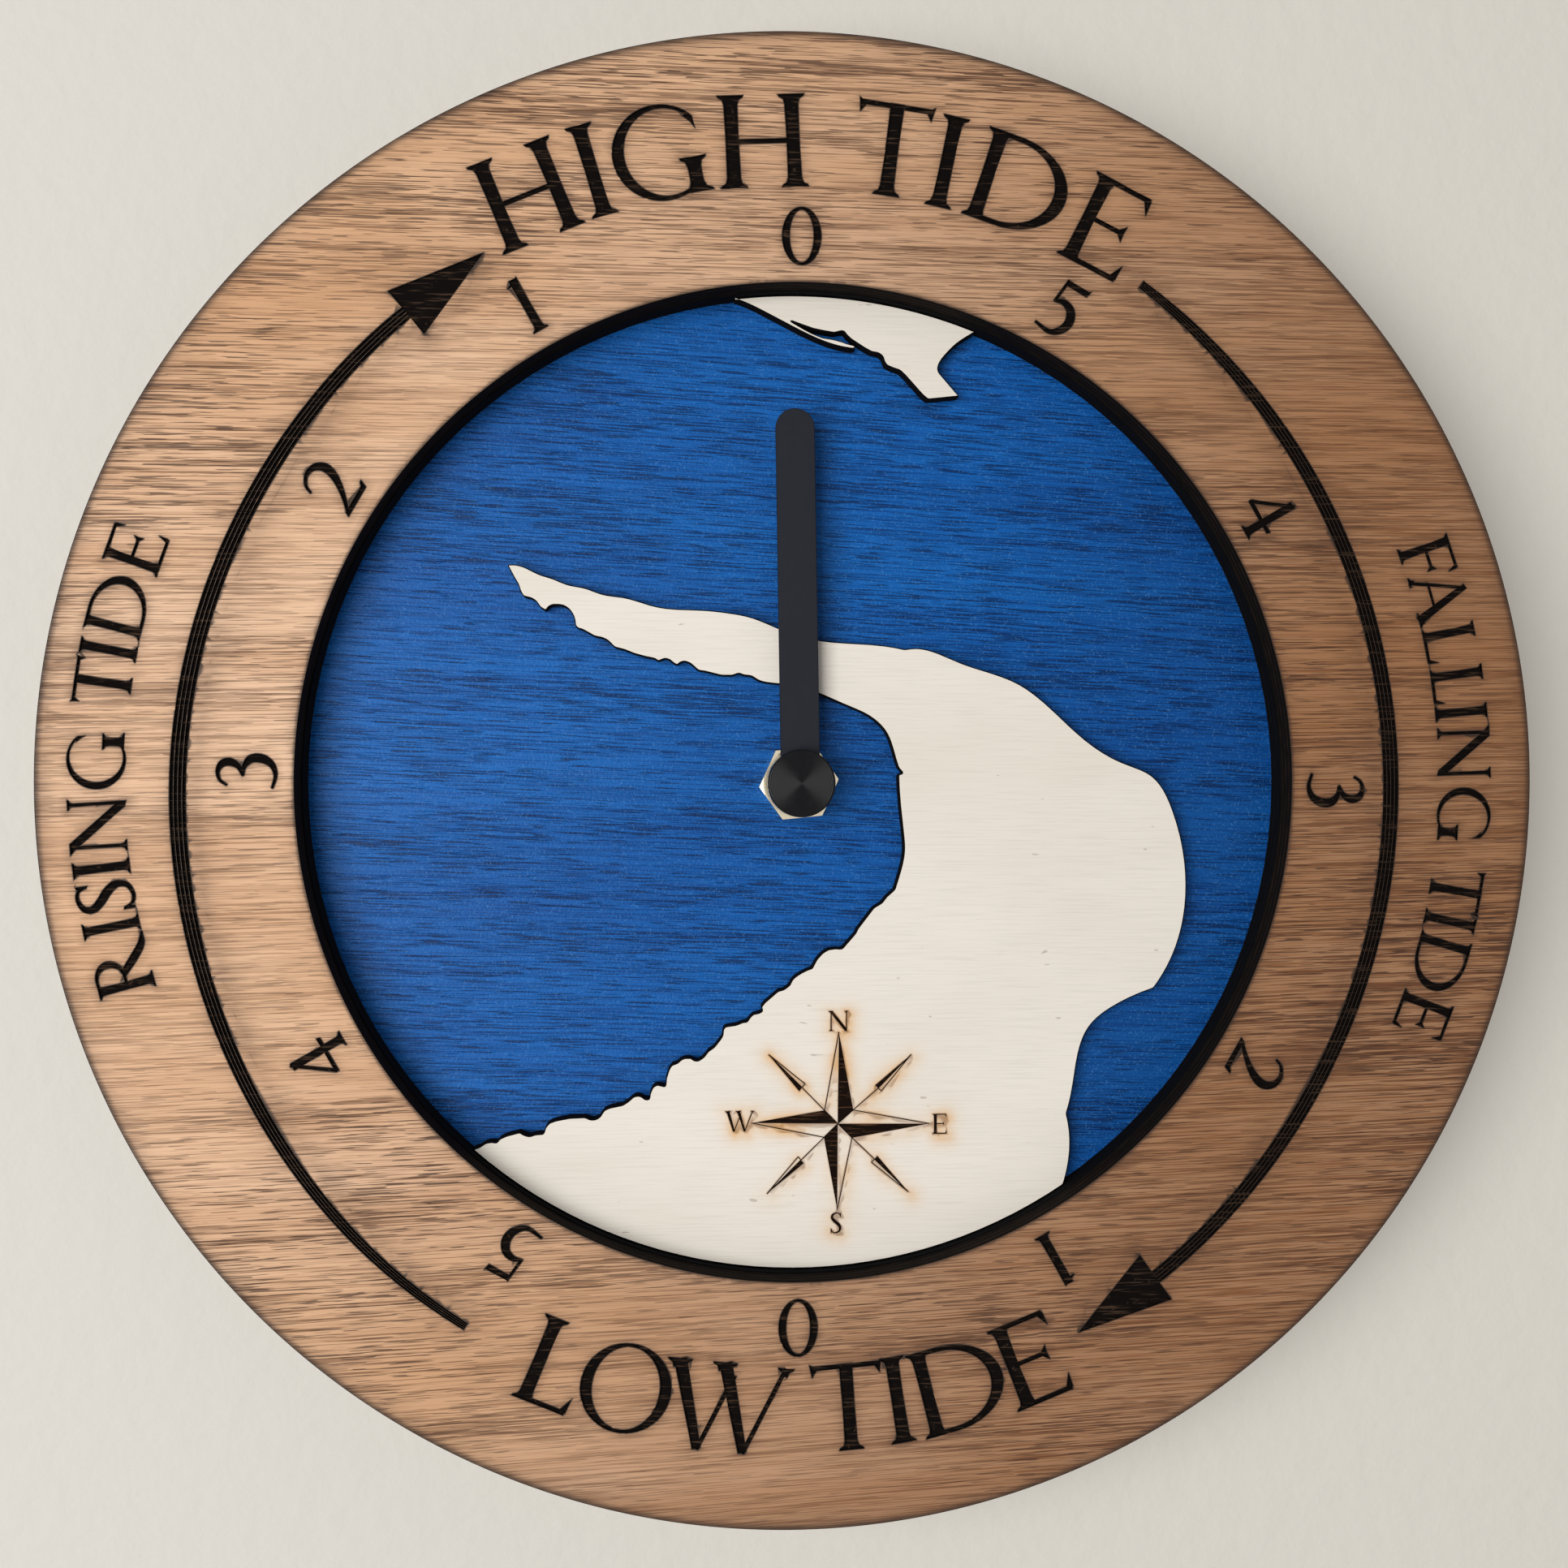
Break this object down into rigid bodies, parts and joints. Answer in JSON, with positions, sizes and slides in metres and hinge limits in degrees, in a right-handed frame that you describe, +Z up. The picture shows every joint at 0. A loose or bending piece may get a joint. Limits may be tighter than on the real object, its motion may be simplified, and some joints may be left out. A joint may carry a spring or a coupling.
{
  "type": "tide clock",
  "caption": "Round wall tide clock: layered plywood dial with a coast map and a single hand, on a battery quartz movement that hangs from an eye.",
  "frame": {"origin": "on the hand's axis, in the plane of the wall that the back of the movement rests against", "axes": "+Z up towards the top of the dial, +X to the right as seen from the front, +Y into the wall, so the dial faces -Y"},
  "size_m": [0.254, 0.0314, 0.254],
  "materials": {
    "stained_plywood": "oiled",
    "black_plywood": "matt black edge",
    "blue_plywood": "satin paint",
    "white_plywood": "whitewash",
    "black_hand": "satin black",
    "black_cap": "turned black",
    "nut_brass": "plated",
    "brass": "turned",
    "black_plastic": "moulded",
    "white_plastic": "moulded",
    "amber_plastic": "moulded",
    "steel": "bright",
    "magnet": "sintered",
    "copper_wire": "enamelled wire",
    "board": "laminate",
    "resin": "cast",
    "cell_jacket": "plain jacket",
    "rubber": "moulded"
  },
  "bodies": {
    "clock_body": {"face_ring": "stained_plywood", "spacer_ring": "black_plywood", "back_disc": "blue_plywood", "land_south": "white_plywood", "land_north": "white_plywood", "mounting_nut": "nut_brass", "rubber_gasket": "rubber", "threaded_bush": "brass", "movement_case": "black_plastic", "back_cover": "black_plastic", "train_bridge": "white_plastic", "stator": "steel", "coil_core": "steel", "coil_bobbin": "amber_plastic", "coil_winding": "copper_wire", "circuit_board": "board", "timer_chip": "resin", "quartz_crystal": "steel", "positive_contact": "steel", "negative_contact": "steel"},
    "tide_pointer": {"hour_wheel": "white_plastic", "hand_collet": "brass", "tide_hand": "black_hand", "hub_cap": "black_cap"},
    "minute_works": {"minute_works_wheel": "white_plastic"},
    "cannon": {"cannon_pinion": "white_plastic", "clutch_washer": "steel"},
    "setting_wheel": {"setting_pinion": "white_plastic", "setting_knob": "black_plastic"},
    "second": {"second_wheel": "amber_plastic"},
    "intermediate": {"intermediate_wheel": "white_plastic"},
    "rotor": {"rotor_pinion": "white_plastic", "rotor_magnet": "magnet"},
    "third": {"third_wheel": "white_plastic"},
    "centre": {"centre_wheel": "amber_plastic"},
    "battery": {"battery_cell": "cell_jacket"}
  },
  "joints": [
    {"name": "hand_turn", "type": "hinge", "parent": "clock_body", "child": "tide_pointer", "pos_m": [0, 0, 0], "axis": [0, 1, 0], "continuous": true},
    {"name": "minute_works_turn", "type": "hinge", "parent": "clock_body", "child": "minute_works", "pos_m": [-0.0084, 0, 0], "axis": [0, 1, 0], "continuous": true},
    {"name": "cannon_turn", "type": "hinge", "parent": "clock_body", "child": "cannon", "pos_m": [0, 0, 0], "axis": [0, 1, 0], "continuous": true},
    {"name": "knob_turn", "type": "hinge", "parent": "clock_body", "child": "setting_wheel", "pos_m": [-0.01629, 0, -0.00287], "axis": [0, 1, 0], "continuous": true},
    {"name": "second_turn", "type": "hinge", "parent": "clock_body", "child": "second", "pos_m": [0, 0, 0], "axis": [0, 1, 0], "continuous": true},
    {"name": "intermediate_turn", "type": "hinge", "parent": "clock_body", "child": "intermediate", "pos_m": [-0.00594, 0, 0.00594], "axis": [0, 1, 0], "continuous": true},
    {"name": "rotor_turn", "type": "hinge", "parent": "clock_body", "child": "rotor", "pos_m": [-0.00976, 0, 0.00976], "axis": [0, 1, 0], "continuous": true},
    {"name": "third_turn", "type": "hinge", "parent": "clock_body", "child": "third", "pos_m": [0.00799, 0, 0.00291], "axis": [0, 1, 0], "continuous": true},
    {"name": "centre_turn", "type": "hinge", "parent": "clock_body", "child": "centre", "pos_m": [0, 0, 0], "axis": [0, 1, 0], "continuous": true},
    {"name": "battery_slide", "type": "slide", "parent": "clock_body", "child": "battery", "axis": [0, 1, 0], "range_m": [0, 0.018]}
  ],
  "couplings": [
    {"joint": "minute_works_turn", "follows": "hand_turn", "ratio": -4},
    {"joint": "cannon_turn", "follows": "hand_turn", "ratio": 12},
    {"joint": "knob_turn", "follows": "hand_turn", "ratio": 12},
    {"joint": "intermediate_turn", "follows": "rotor_turn", "ratio": -0.2},
    {"joint": "second_turn", "follows": "rotor_turn", "ratio": 0.033333},
    {"joint": "third_turn", "follows": "rotor_turn", "ratio": -0.0044444},
    {"joint": "centre_turn", "follows": "rotor_turn", "ratio": 0.00055556}
  ]
}
